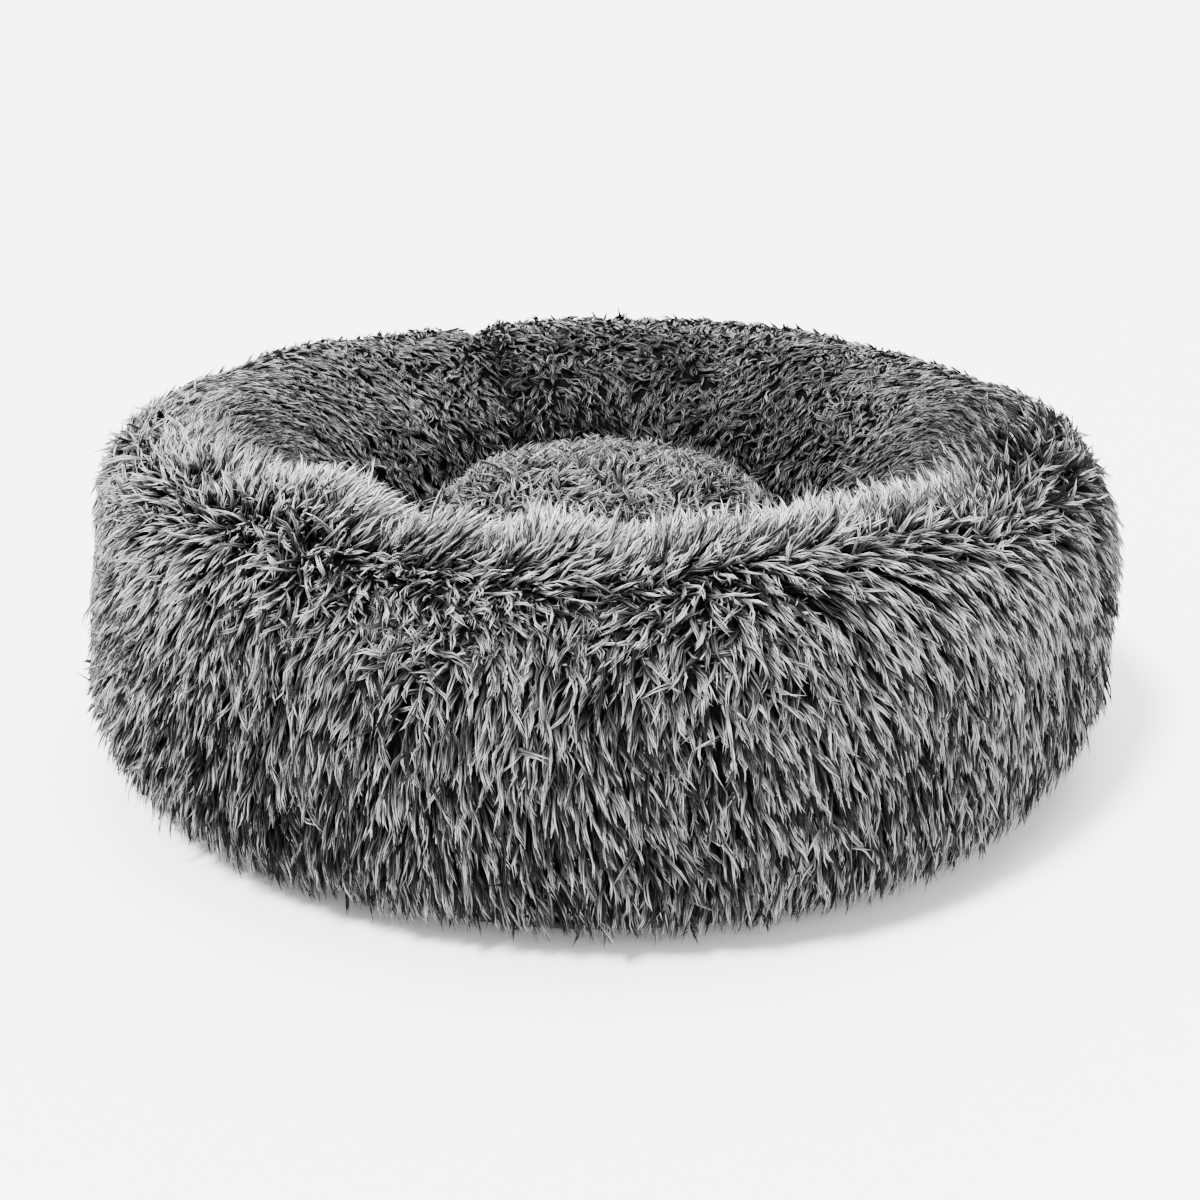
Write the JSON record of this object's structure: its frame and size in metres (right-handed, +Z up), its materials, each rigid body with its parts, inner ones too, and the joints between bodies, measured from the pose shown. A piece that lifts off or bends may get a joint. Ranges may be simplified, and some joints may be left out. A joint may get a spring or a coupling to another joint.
{
  "type": "pet cushion bed",
  "caption": "Round pet bed with a thick long-pile fur bolster ring, a lift-out domed fur cushion and a flat cloth base with a zipped gusset.",
  "frame": {"origin": "centre of the base sheet's underside, on the surface the bed stands on", "axes": "+Z up along the ring's axis, -Y towards the front, +X to the right seen from the front"},
  "size_m": [0.584, 0.584, 0.1902],
  "materials": {
    "grey_shag_fur": "long-pile faux fur, dark roots and pale tips",
    "white_nonwoven": "matte non-woven",
    "polyester_fibre": "loose white fibre",
    "dark_oxford_cloth": "plain woven",
    "binding_tape": "woven tape",
    "zip_tape": "woven tape",
    "nylon_coil": "satin",
    "slider_metal": "satin",
    "satin_label": "satin weave, blank"
  },
  "bodies": {
    "bed": {"bolster_fur_panel_front": "grey_shag_fur", "bolster_fur_panel_back": "grey_shag_fur", "bolster_liner": "white_nonwoven", "bolster_fibre_fill": "polyester_fibre", "base_sheet": "dark_oxford_cloth", "base_seam_binding": "binding_tape", "base_gusset_band": "dark_oxford_cloth", "zip_tape_lower": "zip_tape", "zip_tape_upper": "zip_tape", "zip_coil_lower": "nylon_coil", "zip_coil_upper": "nylon_coil", "zip_stop_closed": "slider_metal", "zip_stop_open": "slider_metal", "care_label": "satin_label"},
    "cushion": {"cushion_fur_top": "grey_shag_fur", "cushion_underside": "dark_oxford_cloth", "cushion_liner": "white_nonwoven", "cushion_fibre_fill": "polyester_fibre"},
    "slider": {"zip_slider": "slider_metal"},
    "pull_tab": {"zip_pull_tab": "slider_metal"}
  },
  "joints": [
    {"name": "cushion_lift", "type": "slide", "parent": "bed", "child": "cushion", "axis": [0, 0, 1], "range_m": [0, 0.26]},
    {"name": "zip_run", "type": "hinge", "parent": "bed", "child": "slider", "pos_m": [0, 0, 0], "axis": [0, 0, 1], "range_deg": [-68, 0]},
    {"name": "pull_tab_swing", "type": "hinge", "parent": "slider", "child": "pull_tab", "pos_m": [-0.14196, 0.21529, 0.01601], "axis": [-0.3356, 0.509, 0.7926], "range_deg": [-85, 85]}
  ]
}
